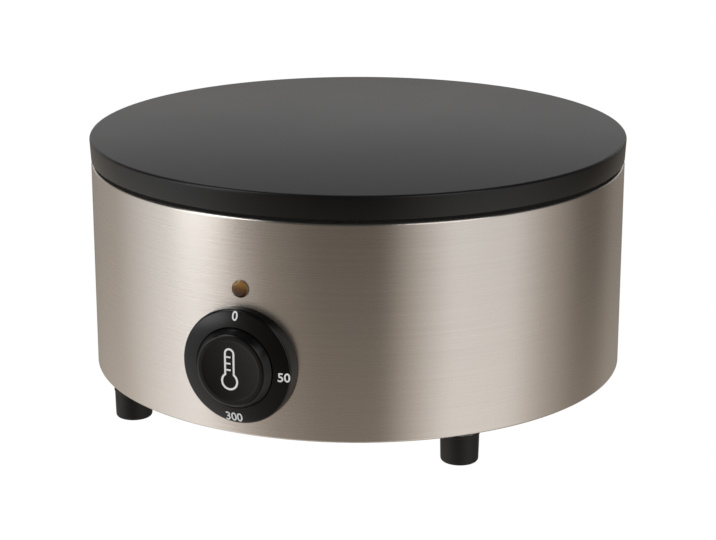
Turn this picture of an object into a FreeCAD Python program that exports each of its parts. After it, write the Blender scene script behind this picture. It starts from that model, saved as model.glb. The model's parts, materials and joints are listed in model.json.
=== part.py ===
import FreeCAD, Part
import math
import os
from FreeCAD import Placement, Rotation, Vector

# Electric crepe maker, in millimetres. +Z is up and the front, with the dial, faces -Y.
# The origin is on the plate's axis, at the level that the feet stand on.

# Cooking plate
PLATE_DIAMETER = 350.0
PLATE_RIM_HEIGHT = 14.5
PLATE_RIM_WIDTH = 11.0
PLATE_WEB = 10.0
PLATE_BOSS_RADIUS = 8.0

# Casing drum and its base
PLATE_OVERHANG = 0.8
CASING_HEIGHT = 135.5
SHEET = 1.0
TOP_FLANGE = 14.5
BOTTOM_FLANGE = 27.0
GASKET_HEIGHT = 2.5
GASKET_WIDTH = 5.0
GASKET_RECESS = 3.5
BASE_INSET = 1.5
BASE_SHEET = 1.0
VENT_COUNT = 10
VENT_LENGTH = 34.0
VENT_WIDTH = 4.0
VENT_CIRCLE = 78.0

# Feet
FOOT_RADIUS = 12.0
FOOT_RUBBER = 18.0
FOOT_PLATE = 1.5
FOOT_INSET = 13.2
FOOT_SPREAD = 86.4
FOOT_TURN = 2.9

# Tie studs, which clamp plate, casing and base together
STUD_RADIUS = 3.0
STUD_INSET = 33.5
STUD_ANGLES = (60.0, 180.0, 300.0)
STUD_GRIP = 11.0
STUD_TAIL = 8.0
NUT_FLATS = 10.0
NUT_HEIGHT = 5.0
WASHER_RADIUS = 6.25
WASHER_HEIGHT = 1.2
SPACER_RADIUS = 5.0

# Heater under the plate
ELEMENT_WIDTH = 8.0
ELEMENT_HEIGHT = 7.0
ELEMENT_FIRST_RADIUS = 51.0
ELEMENT_PITCH = 40.0
ELEMENT_HALF_TURNS = 4
ELEMENT_BEND = 8.0
ELEMENT_LEG = 26.0
BEAD_RADIUS = 6.5
BEAD_HEIGHT = 9.0
TAB_WIDTH = 6.3
TAB_THICKNESS = 0.8
TAB_LENGTH = 9.0
SPIDER_SHEET = 2.0
SPIDER_HUB_RADIUS = 30.0
SPIDER_ARM_WIDTH = 20.0
INSULATION_THICKNESS = 12.0
INSULATION_EDGE_GAP = 2.0
SHIELD_SHEET = 1.0
SHIELD_EDGE_GAP = 8.0
LEG_HOLE_RADIUS = 7.5

# Thermostat with its sensing bulb
BULB_RADIUS = 3.0
BULB_LENGTH = 70.0
SADDLE_WIDTH = 16.0
SADDLE_LENGTH = 40.0
CAPILLARY_RADIUS = 1.0
CAPILLARY_BEND = 9.0
CAPILLARY_DROP = 12.0
CAPILLARY_HOLE_RADIUS = 4.0
THERMOSTAT_WIDTH = 44.0
THERMOSTAT_HEIGHT = 40.0
THERMOSTAT_DEPTH = 30.0
THERMOSTAT_CORNER = 4.0
NOSE_RADIUS = 5.0
NOSE_LENGTH = 11.0
SHAFT_RADIUS = 3.0
SHAFT_FLAT = 1.6
SHAFT_REACH = 18.3
SHAFT_SINK = 9.0
BRACKET_SHEET = 1.5
BRACKET_WIDTH = 62.0
BRACKET_HEIGHT = 50.0
BRACKET_STAND_OFF = 5.0
SCREW_SPACING = 28.0
SCREW_RADIUS = 2.0
SCREW_HEAD_RADIUS = 4.0
SCREW_HEAD_HEIGHT = 2.4

# Dial: fixed bezel and turning knob, both on one axis at the front
DIAL_HEIGHT = 66.0
BEZEL_RADIUS = 35.7
BEZEL_EDGE_DEPTH = 6.4
BEZEL_DEPTH = 9.6
BEZEL_BORE_RADIUS = 25.0
BEZEL_FLOOR = 3.0
KNOB_GAP = 0.3
KNOB_LIFT = 0.6
KNOB_DEPTH = 15.2
KNOB_SHOULDER_DEPTH = 10.0
KNOB_FACE_RADIUS = 21.8
KNOB_WALL = 2.4
KNOB_BOSS_RADIUS = 6.8
BUSH_RADIUS = 4.6
BUSH_LENGTH = 7.6

# Pilot lamp above the dial
LAMP_DIAL_GAP = 5.6
LAMP_RIM_RADIUS = 5.2
LAMP_RIM_WIDTH = 0.7
LAMP_RIM_DEPTH = 1.2
LAMP_LENS_DOME = 1.0
LAMP_BODY_RADIUS = 4.0
LAMP_BODY_LENGTH = 24.0
LAMP_NUT_FLATS = 12.0
LAMP_NUT_HEIGHT = 2.5

# Cord gland at the back
GLAND_HEIGHT = 45.0
GLAND_THREAD_RADIUS = 8.0
GLAND_THREAD_LENGTH = 10.0
GLAND_BORE_RADIUS = 4.0
GLAND_FLATS = 22.0
GLAND_FLANGE = 5.0
GLAND_CAP_RADIUS = 10.4
GLAND_DEPTH = 15.2
GLAND_LOCKNUT_FLATS = 21.0
GLAND_LOCKNUT_HEIGHT = 4.0

# Terminal block on the base, inside
BLOCK_LENGTH = 38.0
BLOCK_WIDTH = 20.0
BLOCK_HEIGHT = 18.0
BLOCK_WAYS = 3
BLOCK_CENTRE_Y = 112.0
BLOCK_WAY_SIZE = 4.4
BLOCK_SCREW_SPACING = 26.0

# Clearances
SEAT_GAP = 0.05
RUNNING_GAP = 0.05
HOLE_GAP = 0.3
OVERCUT = 1.0
SMALL_SIDES = 12

# Levels and radii that follow
PLATE_RADIUS = PLATE_DIAMETER / 2
FRONT_FEET = (270.0 - FOOT_SPREAD / 2 + FOOT_TURN, 270.0 + FOOT_SPREAD / 2 + FOOT_TURN)
REAR_FEET = (90.0 - FOOT_SPREAD / 2 + FOOT_TURN, 90.0 + FOOT_SPREAD / 2 + FOOT_TURN)
CASING_RADIUS = PLATE_RADIUS - PLATE_OVERHANG
BASE_RADIUS = CASING_RADIUS - BASE_INSET
FOOT_CIRCLE = CASING_RADIUS - FOOT_INSET
STUD_CIRCLE = CASING_RADIUS - STUD_INSET
LAMP_HEIGHT = DIAL_HEIGHT + BEZEL_RADIUS + LAMP_DIAL_GAP + LAMP_RIM_RADIUS
FOOT_HEIGHT = FOOT_RUBBER + FOOT_PLATE
CASING_BOTTOM = FOOT_HEIGHT + BASE_SHEET
CASING_TOP = CASING_BOTTOM + CASING_HEIGHT
RIM_UNDERSIDE = CASING_TOP + GASKET_HEIGHT
PLATE_TOP = RIM_UNDERSIDE + PLATE_RIM_HEIGHT
WEB_UNDERSIDE = PLATE_TOP - PLATE_WEB
ELEMENT_UNDERSIDE = WEB_UNDERSIDE - ELEMENT_HEIGHT
SPIDER_UNDERSIDE = ELEMENT_UNDERSIDE - SPIDER_SHEET
INSULATION_UNDERSIDE = SPIDER_UNDERSIDE - INSULATION_THICKNESS
SHIELD_UNDERSIDE = INSULATION_UNDERSIDE - SHIELD_SHEET
INSULATION_RADIUS = STUD_CIRCLE - SPACER_RADIUS - INSULATION_EDGE_GAP
SHIELD_RADIUS = CASING_RADIUS - TOP_FLANGE - SHIELD_EDGE_GAP
LEG_AXIS_LEVEL = ELEMENT_UNDERSIDE - ELEMENT_BEND
LEG_OFFSET = ELEMENT_BEND + ELEMENT_HEIGHT / 2
BULB_X = -ELEMENT_PITCH / 4
BULB_LEVEL = WEB_UNDERSIDE - BULB_RADIUS
BRACKET_FACE_Y = -(CASING_RADIUS - BRACKET_STAND_OFF)
THERMOSTAT_FACE_Y = BRACKET_FACE_Y + BRACKET_SHEET
THERMOSTAT_FACE_DEPTH = -BRACKET_STAND_OFF - BRACKET_SHEET
KNOB_RADIUS = BEZEL_BORE_RADIUS - KNOB_GAP
STUD_HOLE_RADIUS = STUD_RADIUS + HOLE_GAP
STUD_FIT_RADIUS = STUD_RADIUS + SEAT_GAP
SCREW_HOLE_RADIUS = SCREW_RADIUS + HOLE_GAP
SCREW_FIT_RADIUS = SCREW_RADIUS + SEAT_GAP
NOSE_HOLE_RADIUS = NOSE_RADIUS + HOLE_GAP
BLOCK_SCREW_LENGTH = BLOCK_HEIGHT / 3
BLOCK_WAY_LEVEL = CASING_BOTTOM + BLOCK_HEIGHT * 2 / 3


def around(radius, angle, level=0.0):
    """The point at a radius and an angle in degrees from +X, about the plate's axis."""
    turn = math.radians(angle)
    return Vector(radius * math.cos(turn), radius * math.sin(turn), level)


def turned(corners):
    """Solid of revolution about Z from (radius, level) corners."""
    points = [Vector(radius, 0, level) for radius, level in corners]
    points.append(points[0])
    return Part.Face(Part.makePolygon(points)).revolve(Vector(), Vector(0, 0, 1), 360)


def disc(radius, low, high, at=Vector()):
    """Upright cylinder between two levels."""
    return Part.makeCylinder(radius, high - low, Vector(at.x, at.y, low))


def bar(radius, low, high, at=Vector()):
    """Upright many-sided bar inside a radius; small hidden pieces are made so, to keep their facets few."""
    shift = Vector(at.x, at.y, 0)
    points = [around(radius, 360.0 * side / SMALL_SIDES, low) + shift for side in range(SMALL_SIDES + 1)]
    return Part.Face(Part.makePolygon(points)).extrude(Vector(0, 0, high - low))


def clear_of(radius, low, high, at=Vector()):
    """Tool for a many-sided hole that stays outside a radius."""
    return bar(radius / math.cos(math.pi / SMALL_SIDES), low, high, at)


def hex_prism(flats, low, high, at=Vector()):
    """Upright hexagonal prism, given the size across its flats."""
    points = [around(flats / math.sqrt(3), 60.0 * side, low) + Vector(at.x, at.y, 0) for side in range(7)]
    return Part.Face(Part.makePolygon(points)).extrude(Vector(0, 0, high - low))


def hex_nut(flats, hole, low, high, at=Vector()):
    """Hexagonal nut between two levels."""
    return hex_prism(flats, low, high, at).cut(clear_of(hole, low - OVERCUT, high + OVERCUT, at))


def pan_screw(shank_radius, head_radius, head_height, length, at, head_below=False):
    """Pan-head screw whose head's seat is at a point; the shank goes down, or up when the head is below."""
    sense = 1 if head_below else -1
    head = bar(head_radius, min(0, -sense * head_height), max(0, -sense * head_height))
    shank = bar(shank_radius, min(0, sense * length), max(0, sense * length))
    screw = head.fuse(shank).removeSplitter()
    screw.translate(at)
    return screw


def facing_front(shape, height):
    """Turn a piece modelled about Z, with +Z outwards, to the drum's front at a height."""
    shape.Placement = Placement(Vector(0, -CASING_RADIUS, height), Rotation(Vector(1, 0, 0), 90))
    return shape


def facing_back(shape, height):
    """Turn a piece modelled about Z, with +Z outwards, to the drum's back at a height."""
    shape.Placement = Placement(Vector(0, CASING_RADIUS, height), Rotation(Vector(1, 0, 0), -90))
    return shape


def cut_all(shape, tools):
    """The shape less every tool."""
    return shape.cut(Part.makeCompound(tools))


def stud_points(level=0.0):
    return [around(STUD_CIRCLE, angle, level) for angle in STUD_ANGLES]


def foot_points(level=0.0):
    return [around(FOOT_CIRCLE, angle, level) for angle in FRONT_FEET + REAR_FEET]


def element_legs():
    """Centres of the heater's two cold legs, inner first, as seen from above."""
    last = ELEMENT_FIRST_RADIUS + ELEMENT_PITCH / 2 * (ELEMENT_HALF_TURNS - 1)
    inner = Vector(ELEMENT_FIRST_RADIUS - ELEMENT_PITCH / 4, -LEG_OFFSET, 0)
    outer = Vector(last + ELEMENT_PITCH / 4, LEG_OFFSET, 0)
    return inner, outer


def capillary_drop_point():
    """Where the capillary goes down through insulation and shield."""
    return Vector(BULB_X, -BULB_LENGTH / 2 - CAPILLARY_BEND, 0)


def make_cooking_plate():
    """Cast plate: flat top, recessed underside with three tapped bosses."""
    plate = turned([
        (0, PLATE_TOP),
        (PLATE_RADIUS, PLATE_TOP),
        (PLATE_RADIUS, RIM_UNDERSIDE),
        (PLATE_RADIUS - PLATE_RIM_WIDTH, RIM_UNDERSIDE),
        (PLATE_RADIUS - PLATE_RIM_WIDTH, WEB_UNDERSIDE),
        (0, WEB_UNDERSIDE),
    ])
    bosses = []
    tappings = []
    for point in stud_points():
        bosses.append(bar(PLATE_BOSS_RADIUS, ELEMENT_UNDERSIDE, WEB_UNDERSIDE + OVERCUT, point))
        top = ELEMENT_UNDERSIDE + STUD_GRIP + HOLE_GAP
        tappings.append(clear_of(STUD_FIT_RADIUS, ELEMENT_UNDERSIDE - OVERCUT, top, point))
    return cut_all(plate.fuse(bosses), tappings).removeSplitter()


def make_plate_gasket():
    """Heat-proof ring between casing and plate, set back from the drum so that a dark gap shows."""
    outer = CASING_RADIUS - GASKET_RECESS
    return turned([
        (outer - GASKET_WIDTH, CASING_TOP),
        (outer, CASING_TOP),
        (outer, RIM_UNDERSIDE),
        (outer - GASKET_WIDTH, RIM_UNDERSIDE),
    ])


def make_casing_shell():
    """Drum rolled from sheet, turned in at the top and at the bottom, with its holes."""
    inside = CASING_RADIUS - SHEET
    drum = turned([
        (CASING_RADIUS - TOP_FLANGE, CASING_TOP),
        (CASING_RADIUS, CASING_TOP),
        (CASING_RADIUS, CASING_BOTTOM),
        (CASING_RADIUS - BOTTOM_FLANGE, CASING_BOTTOM),
        (CASING_RADIUS - BOTTOM_FLANGE, CASING_BOTTOM + SHEET),
        (inside, CASING_BOTTOM + SHEET),
        (inside, CASING_TOP - SHEET),
        (CASING_RADIUS - TOP_FLANGE, CASING_TOP - SHEET),
    ])
    reach = CASING_RADIUS / 2
    front = [clear_of(NOSE_HOLE_RADIUS, -reach, reach)]
    for side in (-1, 1):
        centre = Vector(side * SCREW_SPACING / 2, 0, 0)
        front.append(clear_of(SCREW_HOLE_RADIUS, -reach, reach, centre))
    holes = [facing_front(Part.makeCompound(front), DIAL_HEIGHT)]
    holes.append(facing_front(clear_of(LAMP_BODY_RADIUS + HOLE_GAP, -reach, reach), LAMP_HEIGHT))
    holes.append(facing_back(clear_of(GLAND_THREAD_RADIUS + HOLE_GAP, -reach, reach), GLAND_HEIGHT))
    for point in foot_points():
        holes.append(clear_of(STUD_HOLE_RADIUS, CASING_BOTTOM - OVERCUT, CASING_BOTTOM + SHEET + OVERCUT, point))
    return cut_all(drum, holes)


def make_base_cover():
    """Flat steel cover under the bottom flange, with radial vents and its fixing holes."""
    cover = disc(BASE_RADIUS, FOOT_HEIGHT, CASING_BOTTOM)
    cuts = []
    for index in range(VENT_COUNT):
        low = Vector(VENT_CIRCLE - VENT_LENGTH / 2, -VENT_WIDTH / 2, FOOT_HEIGHT - OVERCUT)
        slot = Part.makeBox(VENT_LENGTH, VENT_WIDTH, BASE_SHEET + 2 * OVERCUT, low)
        slot.rotate(Vector(), Vector(0, 0, 1), 360.0 / VENT_COUNT * (index + 0.5))
        cuts.append(slot)
    for point in foot_points() + stud_points():
        cuts.append(clear_of(STUD_HOLE_RADIUS, FOOT_HEIGHT - OVERCUT, CASING_BOTTOM + OVERCUT, point))
    for side in (-1, 1):
        centre = Vector(side * BLOCK_SCREW_SPACING / 2, BLOCK_CENTRE_Y, 0)
        cuts.append(clear_of(SCREW_HOLE_RADIUS, FOOT_HEIGHT - OVERCUT, CASING_BOTTOM + OVERCUT, centre))
    return cut_all(cover, cuts)


def make_feet():
    """Four rubber feet."""
    return Part.makeCompound([disc(FOOT_RADIUS, 0, FOOT_RUBBER, point) for point in foot_points()])


def make_foot_studs():
    """Steel plate and threaded stud bonded to the top of each foot."""
    top = CASING_BOTTOM + SHEET + NUT_HEIGHT + STUD_RADIUS
    studs = []
    for point in foot_points():
        plate = bar(FOOT_RADIUS, FOOT_RUBBER, FOOT_HEIGHT, point)
        studs.append(plate.fuse(bar(STUD_RADIUS, FOOT_RUBBER, top, point)).removeSplitter())
    return Part.makeCompound(studs)


def make_foot_nuts():
    """Nuts inside the casing that hold feet, base cover and bottom flange together."""
    low = CASING_BOTTOM + SHEET
    hole = STUD_FIT_RADIUS
    nuts = [hex_nut(NUT_FLATS, hole, low, low + NUT_HEIGHT, point) for point in foot_points()]
    return Part.makeCompound(nuts)


def make_tie_studs():
    """Long studs from the plate's bosses down through the base cover."""
    low = FOOT_HEIGHT - STUD_TAIL
    high = ELEMENT_UNDERSIDE + STUD_GRIP
    return Part.makeCompound([bar(STUD_RADIUS, low, high, point) for point in stud_points()])


def make_tie_washers():
    """Washers under the base cover."""
    washers = []
    for point in stud_points():
        washer = bar(WASHER_RADIUS, FOOT_HEIGHT - WASHER_HEIGHT, FOOT_HEIGHT, point)
        washers.append(washer.cut(clear_of(STUD_FIT_RADIUS, 0, CASING_BOTTOM, point)))
    return Part.makeCompound(washers)


def make_tie_nuts():
    """Nuts under those washers, which pull the plate down on its gasket."""
    high = FOOT_HEIGHT - WASHER_HEIGHT
    hole = STUD_FIT_RADIUS
    nuts = [hex_nut(NUT_FLATS, hole, high - NUT_HEIGHT, high, point) for point in stud_points()]
    return Part.makeCompound(nuts)


def make_shield_spacers():
    """Sleeves on the tie studs between the spider and the heat shield."""
    sleeves = []
    for point in stud_points():
        sleeve = bar(SPACER_RADIUS, INSULATION_UNDERSIDE, SPIDER_UNDERSIDE, point)
        sleeves.append(sleeve.cut(clear_of(STUD_FIT_RADIUS, 0, PLATE_TOP, point)))
    return Part.makeCompound(sleeves)


def make_shield_nuts():
    """Nuts that hold shield, insulation and spider up against the heater."""
    high = SHIELD_UNDERSIDE
    hole = STUD_FIT_RADIUS
    nuts = [hex_nut(NUT_FLATS, hole, high - NUT_HEIGHT, high, point) for point in stud_points()]
    return Part.makeCompound(nuts)


def element_section(x):
    """Flat-topped heater section in the XZ plane, pressed to lie against the plate."""
    half = ELEMENT_WIDTH / 2
    points = [
        Vector(x - half, 0, WEB_UNDERSIDE),
        Vector(x + half, 0, WEB_UNDERSIDE),
        Vector(x + half, 0, ELEMENT_UNDERSIDE),
        Vector(x - half, 0, ELEMENT_UNDERSIDE),
        Vector(x - half, 0, WEB_UNDERSIDE),
    ]
    return Part.Face(Part.makePolygon(points))


def element_leg(x, sense):
    """Quarter bend down from the end of a turn, and the straight cold leg below it."""
    axis_point = Vector(x, 0, LEG_AXIS_LEVEL)
    section = element_section(x)
    bend = section.revolve(axis_point, Vector(sense, 0, 0), 90)
    section.rotate(axis_point, Vector(sense, 0, 0), 90)
    return [bend, section.extrude(Vector(0, 0, -ELEMENT_LEG))]


def make_heating_element():
    """Tubular heater: a two-centre spiral of half turns, with both ends bent down."""
    pieces = []
    for index in range(ELEMENT_HALF_TURNS):
        side = 1 if index % 2 == 0 else -1
        centre_x = -side * ELEMENT_PITCH / 4
        radius = ELEMENT_FIRST_RADIUS + ELEMENT_PITCH / 2 * index
        section = element_section(centre_x + side * radius)
        pieces.append(section.revolve(Vector(centre_x, 0, 0), Vector(0, 0, 1), 180))
    inner, outer = element_legs()
    pieces += element_leg(inner.x, 1) + element_leg(outer.x, -1)
    return pieces[0].fuse(pieces[1:]).removeSplitter()


def make_element_terminals():
    """Ceramic bead and spade tab at the end of each cold leg."""
    level = LEG_AXIS_LEVEL - ELEMENT_LEG
    terminals = []
    for leg in element_legs():
        bead = bar(BEAD_RADIUS, level - BEAD_HEIGHT, level, leg)
        low = Vector(leg.x - TAB_WIDTH / 2, leg.y - TAB_THICKNESS / 2, level - BEAD_HEIGHT - TAB_LENGTH)
        tab = Part.makeBox(TAB_WIDTH, TAB_THICKNESS, TAB_LENGTH + OVERCUT, low)
        terminals.append(bead.fuse(tab).removeSplitter())
    return Part.makeCompound(terminals)


def make_element_spider():
    """Three-armed steel plate that presses the heater against the plate."""
    shape = disc(SPIDER_HUB_RADIUS, SPIDER_UNDERSIDE, ELEMENT_UNDERSIDE)
    arms = []
    for angle in STUD_ANGLES:
        low = Vector(0, -SPIDER_ARM_WIDTH / 2, SPIDER_UNDERSIDE)
        arm = Part.makeBox(STUD_CIRCLE + SPIDER_ARM_WIDTH / 2, SPIDER_ARM_WIDTH, SPIDER_SHEET, low)
        arm.rotate(Vector(), Vector(0, 0, 1), angle)
        arms.append(arm)
    holes = [clear_of(STUD_HOLE_RADIUS, 0, PLATE_TOP, point) for point in stud_points()]
    return cut_all(shape.fuse(arms), holes).removeSplitter()


def leg_holes():
    """Tools for the holes that the heater's legs and the capillary pass through."""
    tools = [clear_of(LEG_HOLE_RADIUS, 0, PLATE_TOP, leg) for leg in element_legs()]
    tools.append(clear_of(CAPILLARY_HOLE_RADIUS, 0, PLATE_TOP, capillary_drop_point()))
    return tools


def make_insulation_disc():
    """Mineral board under the heater."""
    return cut_all(disc(INSULATION_RADIUS, INSULATION_UNDERSIDE, SPIDER_UNDERSIDE), leg_holes())


def make_heat_shield():
    """Thin bright plate below the insulation."""
    shield = disc(SHIELD_RADIUS, SHIELD_UNDERSIDE, INSULATION_UNDERSIDE)
    studs = [clear_of(STUD_HOLE_RADIUS, 0, PLATE_TOP, point) for point in stud_points()]
    return cut_all(shield, leg_holes() + studs)


def make_sensor_bulb():
    """Liquid-filled bulb of the thermostat, flat under the middle of the plate."""
    start = Vector(BULB_X, -BULB_LENGTH / 2, BULB_LEVEL)
    return Part.makeCylinder(BULB_RADIUS, BULB_LENGTH, start, Vector(0, 1, 0))


def make_bulb_saddle():
    """Grooved block on the spider's hub that carries the bulb."""
    low = Vector(BULB_X - SADDLE_WIDTH / 2, -SADDLE_LENGTH / 2, ELEMENT_UNDERSIDE)
    block = Part.makeBox(SADDLE_WIDTH, SADDLE_LENGTH, BULB_LEVEL - ELEMENT_UNDERSIDE, low)
    start = Vector(BULB_X, -BULB_LENGTH, BULB_LEVEL)
    groove = Part.makeCylinder(BULB_RADIUS + SEAT_GAP, 2 * BULB_LENGTH, start, Vector(0, 1, 0))
    return block.cut(groove)


def bent_tube(points, radius, bend):
    """Tube along straight runs whose corners are cut off by short runs, with mitred joints."""
    path = [points[0]]
    for index in range(1, len(points) - 1):
        here = points[index]
        for other in (points[index - 1], points[index + 1]):
            path.append(here + (other - here).normalize() * bend)
    path.append(points[-1])
    ring = Part.Wire(Part.makeCircle(radius, path[0], path[1] - path[0]))
    return Part.makePolygon(path).makePipeShell([ring], True, False, 1)


def make_capillary_tube():
    """Copper capillary from the bulb's end, down through the shield, to the back of the thermostat."""
    start = Vector(BULB_X, -BULB_LENGTH / 2, BULB_LEVEL)
    drop = capillary_drop_point()
    corner = Vector(drop.x, drop.y, BULB_LEVEL)
    turn = Vector(drop.x, drop.y, SHIELD_UNDERSIDE - CAPILLARY_DROP)
    end_y = THERMOSTAT_FACE_Y + THERMOSTAT_DEPTH + CAPILLARY_RADIUS
    end = Vector(BULB_X, end_y, DIAL_HEIGHT + THERMOSTAT_HEIGHT / 4)
    return bent_tube([start, corner, turn, end], CAPILLARY_RADIUS, CAPILLARY_BEND / 2)


def make_thermostat_bracket():
    """Flat plate with two bent sides that rest against the inside of the drum."""
    half_width = BRACKET_WIDTH / 2
    half_height = BRACKET_HEIGHT / 2
    low = Vector(-half_width, BRACKET_FACE_Y, DIAL_HEIGHT - half_height)
    plate = Part.makeBox(BRACKET_WIDTH, BRACKET_SHEET, BRACKET_HEIGHT, low)
    sides = []
    for x in (-half_width, half_width - BRACKET_SHEET):
        corner = Vector(x, -CASING_RADIUS, DIAL_HEIGHT - half_height)
        depth = CASING_RADIUS + BRACKET_FACE_Y + BRACKET_SHEET
        sides.append(Part.makeBox(BRACKET_SHEET, depth, BRACKET_HEIGHT, corner))
    inner = disc(CASING_RADIUS - SHEET - SEAT_GAP, 0, PLATE_TOP)
    bracket = plate.fuse(sides).common(inner)
    holes = [clear_of(NOSE_HOLE_RADIUS, -CASING_RADIUS, CASING_RADIUS)]
    for side in (-1, 1):
        centre = Vector(side * SCREW_SPACING / 2, 0, 0)
        holes.append(clear_of(SCREW_HOLE_RADIUS, -CASING_RADIUS, CASING_RADIUS, centre))
    return bracket.cut(facing_front(Part.makeCompound(holes), DIAL_HEIGHT)).removeSplitter()


def make_thermostat_body():
    """Thermostat: moulded body with bevelled corners, round nose and bore for its shaft."""
    half_width = THERMOSTAT_WIDTH / 2
    half_height = THERMOSTAT_HEIGHT / 2
    corner = THERMOSTAT_CORNER
    outline = []
    for x_sign, z_sign in ((1, 1), (-1, 1), (-1, -1), (1, -1)):
        beside = Vector(x_sign * (half_width - corner), 0, z_sign * half_height)
        below = Vector(x_sign * half_width, 0, z_sign * (half_height - corner))
        outline += [below, beside] if x_sign * z_sign > 0 else [beside, below]
    outline = [point + Vector(0, THERMOSTAT_FACE_Y, DIAL_HEIGHT) for point in outline]
    outline.append(outline[0])
    body = Part.Face(Part.makePolygon(outline)).extrude(Vector(0, THERMOSTAT_DEPTH, 0))
    axis = Vector(0, -1, 0)
    nose = Part.makeCylinder(NOSE_RADIUS, NOSE_LENGTH, Vector(0, THERMOSTAT_FACE_Y, DIAL_HEIGHT), axis)
    sink = Vector(0, THERMOSTAT_FACE_Y + SHAFT_SINK, DIAL_HEIGHT)
    bore = Part.makeCylinder(SHAFT_RADIUS + RUNNING_GAP, SHAFT_SINK + NOSE_LENGTH + OVERCUT, sink, axis)
    pilots = []
    for side in (-1, 1):
        centre = Vector(side * SCREW_SPACING / 2, 0, 0)
        pilots.append(clear_of(SCREW_FIT_RADIUS, THERMOSTAT_FACE_DEPTH - SHAFT_SINK, 0, centre))
    pilots = facing_front(Part.makeCompound(pilots), DIAL_HEIGHT)
    return cut_all(body.fuse(nose), [bore, pilots]).removeSplitter()


def make_thermostat_screws():
    """Two screws that hold bezel, drum, bracket and thermostat together, hidden by the knob."""
    length = BEZEL_FLOOR + BRACKET_STAND_OFF + SHAFT_SINK / 2
    screws = []
    for side in (-1, 1):
        seat = Vector(side * SCREW_SPACING / 2, 0, BEZEL_FLOOR)
        screws.append(pan_screw(SCREW_RADIUS, SCREW_HEAD_RADIUS, SCREW_HEAD_HEIGHT, length, seat))
    return facing_front(Part.makeCompound(screws), DIAL_HEIGHT)


def flatted_rod(radius, flat, low, high):
    """Upright rod with one flat at a distance from its axis."""
    rod = disc(radius, low, high)
    side = Part.makeBox(2 * radius, radius, high - low, Vector(-radius, flat, low))
    return rod.cut(side)


def make_thermostat_shaft():
    """Thermostat shaft; its free end has a flat for the knob."""
    inner = THERMOSTAT_FACE_DEPTH - SHAFT_SINK + RUNNING_GAP
    flat_start = THERMOSTAT_FACE_DEPTH + NOSE_LENGTH + HOLE_GAP
    outer = THERMOSTAT_FACE_DEPTH + SHAFT_REACH
    shaft = disc(SHAFT_RADIUS, inner, flat_start)
    shaft = shaft.fuse(flatted_rod(SHAFT_RADIUS, SHAFT_FLAT, flat_start, outer))
    return facing_front(shaft, DIAL_HEIGHT)


def make_dial_bezel():
    """Fixed dial bezel: shallow cone on a plain rim, saddle-shaped back, and a well for the knob."""
    behind = -2 * (CASING_RADIUS - math.sqrt(CASING_RADIUS * CASING_RADIUS - BEZEL_RADIUS * BEZEL_RADIUS))
    bezel = turned([
        (0, behind),
        (BEZEL_RADIUS, behind),
        (BEZEL_RADIUS, BEZEL_EDGE_DEPTH),
        (BEZEL_BORE_RADIUS, BEZEL_DEPTH),
        (BEZEL_BORE_RADIUS, BEZEL_FLOOR),
        (0, BEZEL_FLOOR),
    ])
    holes = [clear_of(NOSE_HOLE_RADIUS, behind - OVERCUT, BEZEL_FLOOR + OVERCUT)]
    for side in (-1, 1):
        centre = Vector(side * SCREW_SPACING / 2, 0, 0)
        holes.append(clear_of(SCREW_HOLE_RADIUS, behind - OVERCUT, BEZEL_FLOOR + OVERCUT, centre))
    bezel = facing_front(cut_all(bezel, holes), DIAL_HEIGHT)
    return bezel.cut(disc(CASING_RADIUS + SEAT_GAP, 0, PLATE_TOP))


def make_knob():
    """Turning knob: moulding tapered towards its face, hollow behind, with a boss for its bush."""
    low = BEZEL_FLOOR + KNOB_LIFT
    ceiling = KNOB_DEPTH - KNOB_WALL
    inside = KNOB_FACE_RADIUS - KNOB_WALL
    shell = turned([
        (0, KNOB_DEPTH),
        (KNOB_FACE_RADIUS, KNOB_DEPTH),
        (KNOB_RADIUS, KNOB_SHOULDER_DEPTH),
        (KNOB_RADIUS, low),
        (inside, low),
        (inside, ceiling),
        (0, ceiling),
    ])
    boss = bar(KNOB_BOSS_RADIUS, ceiling - BUSH_LENGTH, KNOB_DEPTH - KNOB_WALL / 2)
    socket = clear_of(BUSH_RADIUS + SEAT_GAP, ceiling - BUSH_LENGTH - OVERCUT, ceiling)
    return facing_front(shell.fuse(boss).removeSplitter().cut(socket), DIAL_HEIGHT)


def make_knob_bush():
    """Brass bush in the knob's boss, many-sided outside, bored to the shaft's section."""
    high = KNOB_DEPTH - KNOB_WALL
    low = high - BUSH_LENGTH
    bore = flatted_rod(SHAFT_RADIUS + SEAT_GAP, SHAFT_FLAT + SEAT_GAP, low - OVERCUT, high + OVERCUT)
    return facing_front(bar(BUSH_RADIUS, low, high).cut(bore), DIAL_HEIGHT)


def make_lamp_rim():
    """Bright rim of the pilot lamp, on the outside of the drum."""
    bore = LAMP_RIM_RADIUS - LAMP_RIM_WIDTH
    rim = disc(LAMP_RIM_RADIUS, 0, LAMP_RIM_DEPTH).cut(disc(bore, -OVERCUT, LAMP_RIM_DEPTH + OVERCUT))
    return facing_front(rim, LAMP_HEIGHT)


def make_lamp_lens():
    """Amber lens inside the rim."""
    radius = LAMP_RIM_RADIUS - LAMP_RIM_WIDTH - SEAT_GAP
    return facing_front(disc(radius, SEAT_GAP, LAMP_RIM_DEPTH + LAMP_LENS_DOME), LAMP_HEIGHT)


def make_lamp_body():
    """Lamp body inside the drum, with two contact tabs."""
    body = bar(LAMP_BODY_RADIUS, -LAMP_BODY_LENGTH, 0)
    for x in (-1, 1):
        inner = x * LAMP_BODY_RADIUS / 2 - TAB_THICKNESS / 2
        low = Vector(inner, -TAB_WIDTH / 2, -LAMP_BODY_LENGTH - TAB_LENGTH)
        body = body.fuse(Part.makeBox(TAB_THICKNESS, TAB_WIDTH, TAB_LENGTH + OVERCUT, low))
    return facing_front(body.removeSplitter(), LAMP_HEIGHT)


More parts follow.
